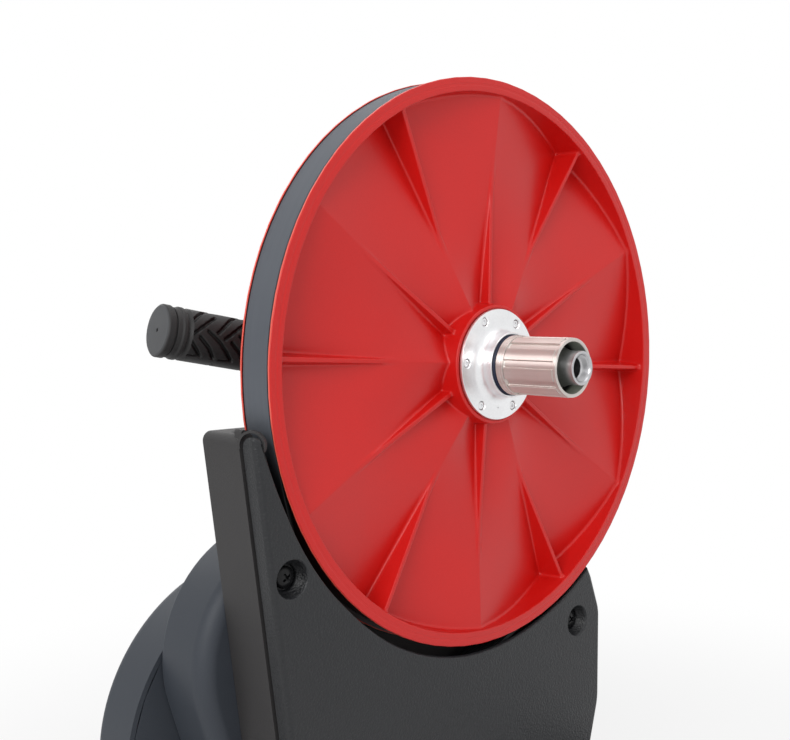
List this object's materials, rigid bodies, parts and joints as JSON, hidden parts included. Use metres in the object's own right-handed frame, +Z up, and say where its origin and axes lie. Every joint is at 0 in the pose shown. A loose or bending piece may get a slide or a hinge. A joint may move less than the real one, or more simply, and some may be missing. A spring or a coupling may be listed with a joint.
{
  "type": "smart bike trainer",
  "caption": "Direct-drive indoor bike trainer: belt-driven pulley with splined freehub on a cast frame, electromagnetic flywheel brake, carrying handle and folding legs.",
  "frame": {"origin": "on the floor, at the middle of the footprint of the feet", "axes": "+X points the way the bike faces, +Y to the non-drive side along the axle, +Z up"},
  "size_m": [0.5002, 0.5906, 0.5203],
  "materials": {
    "red_casting": "red powder coat, satin",
    "machined_silver": "turned and clear anodised",
    "freehub_nickel": "champagne anodised, satin",
    "steel": "plain ground steel",
    "dark_steel": "blackened",
    "navy_seal": "smooth lip seal",
    "belt_rubber": "satin fabric-backed rubber",
    "frame_grey": "charcoal powder coat, fine texture",
    "cover_plastic": "grained",
    "housing_plastic": "fine matt",
    "grip_rubber": "chevron tread",
    "black_screw": "black oxide",
    "copper": "enamelled winding",
    "board_green": "solder mask",
    "foot_rubber": "matt moulded"
  },
  "bodies": {
    "frame": {"frame_casting": "frame_grey", "drive_cover": "cover_plastic", "cover_screw_1": "black_screw", "cover_screw_2": "black_screw", "cover_screw_3": "black_screw", "cover_screw_4": "black_screw", "handle_bar": "dark_steel", "handle_grip": "grip_rubber", "brake_housing": "housing_plastic", "power_socket": "black_screw", "control_board": "board_green", "flywheel_guard": "housing_plastic", "flywheel_cover": "housing_plastic", "brake_stator": "dark_steel", "brake_coil_1": "copper", "brake_coil_2": "copper", "brake_coil_3": "copper", "brake_coil_4": "copper", "brake_coil_5": "copper", "brake_coil_6": "copper", "shaft_bearing_front": "steel", "shaft_bearing_rear": "steel", "drive_belt": "belt_rubber", "idler_stud": "dark_steel", "axle": "steel", "drive_end_cap": "steel", "non_drive_end_cap": "dark_steel", "base_beam": "frame_grey", "base_bolt_1": "black_screw", "base_bolt_2": "black_screw", "rear_foot_bar": "frame_grey", "rear_left_foot": "foot_rubber", "rear_right_foot": "foot_rubber", "left_leg_pin": "steel", "right_leg_pin": "steel"},
    "pulley": {"driven_pulley": "red_casting", "hub_shell": "machined_silver", "hub_bolt_1": "steel", "hub_bolt_2": "steel", "hub_bolt_3": "steel", "hub_bolt_4": "steel", "hub_bolt_5": "steel", "hub_bolt_6": "steel", "hub_seal": "navy_seal", "hub_bearing_drive": "steel", "hub_bearing_rear": "steel"},
    "freehub": {"freehub_body": "freehub_nickel", "freehub_bearing_outer": "steel", "freehub_bearing_inner": "steel"},
    "flywheel": {"flywheel": "dark_steel", "flywheel_shaft": "steel", "belt_pinion": "steel"},
    "idler": {"idler_pulley": "steel"},
    "left_leg": {"left_leg": "frame_grey", "left_leg_foot": "foot_rubber"},
    "right_leg": {"right_leg": "frame_grey", "right_leg_foot": "foot_rubber"},
    "left_knob": {"left_leg_knob": "grip_rubber"},
    "right_knob": {"right_leg_knob": "grip_rubber"}
  },
  "joints": [
    {"name": "flywheel_spin", "type": "hinge", "parent": "frame", "child": "flywheel", "pos_m": [-0.13635, -0.0175, 0.1305], "axis": [0, 1, 0], "continuous": true},
    {"name": "pulley_spin", "type": "hinge", "parent": "frame", "child": "pulley", "pos_m": [-0.03285, -0.0175, 0.35], "axis": [0, 1, 0], "continuous": true},
    {"name": "idler_spin", "type": "hinge", "parent": "frame", "child": "idler", "pos_m": [-0.04215, -0.0175, 0.14932], "axis": [0, 1, 0], "continuous": true},
    {"name": "freehub_spin", "type": "hinge", "parent": "frame", "child": "freehub", "pos_m": [-0.03285, -0.0175, 0.35], "axis": [0, 1, 0], "continuous": true},
    {"name": "left_leg_fold", "type": "hinge", "parent": "frame", "child": "left_leg", "pos_m": [0.09715, 0.0435, 0.025], "axis": [0, 0, 1], "range_deg": [0, 120]},
    {"name": "right_leg_fold", "type": "hinge", "parent": "frame", "child": "right_leg", "pos_m": [0.09715, -0.0435, 0.025], "axis": [0, 0, -1], "range_deg": [0, 120]},
    {"name": "left_knob_turn", "type": "hinge", "parent": "frame", "child": "left_knob", "pos_m": [0.09715, 0.0435, 0.059], "axis": [0, 0, 1], "range_deg": [0, 180]},
    {"name": "right_knob_turn", "type": "hinge", "parent": "frame", "child": "right_knob", "pos_m": [0.09715, -0.0435, 0.059], "axis": [0, 0, 1], "range_deg": [0, 180]}
  ],
  "couplings": [
    {"joint": "pulley_spin", "follows": "flywheel_spin", "ratio": 0.079525},
    {"joint": "idler_spin", "follows": "flywheel_spin", "ratio": -0.87013}
  ]
}
